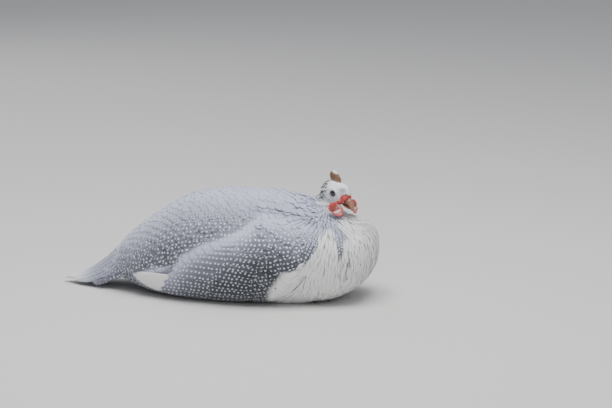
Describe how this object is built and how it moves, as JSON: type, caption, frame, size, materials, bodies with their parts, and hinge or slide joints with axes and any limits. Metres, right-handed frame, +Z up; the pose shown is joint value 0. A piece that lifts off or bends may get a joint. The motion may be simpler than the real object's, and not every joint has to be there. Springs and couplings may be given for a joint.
{
  "type": "helmeted guinea fowl resting on its belly",
  "caption": "Plump ground bird at rest with folded wings, drawn-in neck, small helmeted head, cupped wattles and a tail laid on the floor.",
  "frame": {"origin": "middle of the belly's flat, on the floor", "axes": "+X forward to the breast, +Y to the bird's left, +Z up"},
  "size_m": [0.455, 0.2064, 0.1781],
  "materials": {
    "plumage": "soft matte feathers",
    "neck_plumage": "short pale hair-like feathers",
    "head_skin": "bare wrinkled bluish-white skin",
    "eye": "wet gloss",
    "bill": "satin horn",
    "casque": "dull horn",
    "wattle": "waxy soft skin",
    "leg_skin": "scaled skin",
    "claw": "satin horn"
  },
  "bodies": {
    "root": {"torso": "plumage", "wing_left": "plumage", "wing_right": "plumage", "tail": "plumage", "neck": "neck_plumage", "head": "head_skin", "eye_left": "eye", "eye_right": "eye", "bill_upper": "bill", "bill_lower": "bill", "casque": "casque", "wattle_left": "wattle", "wattle_right": "wattle", "leg_left": "leg_skin", "leg_right": "leg_skin", "foot_left": "leg_skin", "foot_right": "leg_skin", "claw_left_1": "claw", "claw_left_2": "claw", "claw_left_3": "claw", "claw_left_4": "claw", "claw_right_1": "claw", "claw_right_2": "claw", "claw_right_3": "claw", "claw_right_4": "claw"}
  },
  "joints": []
}
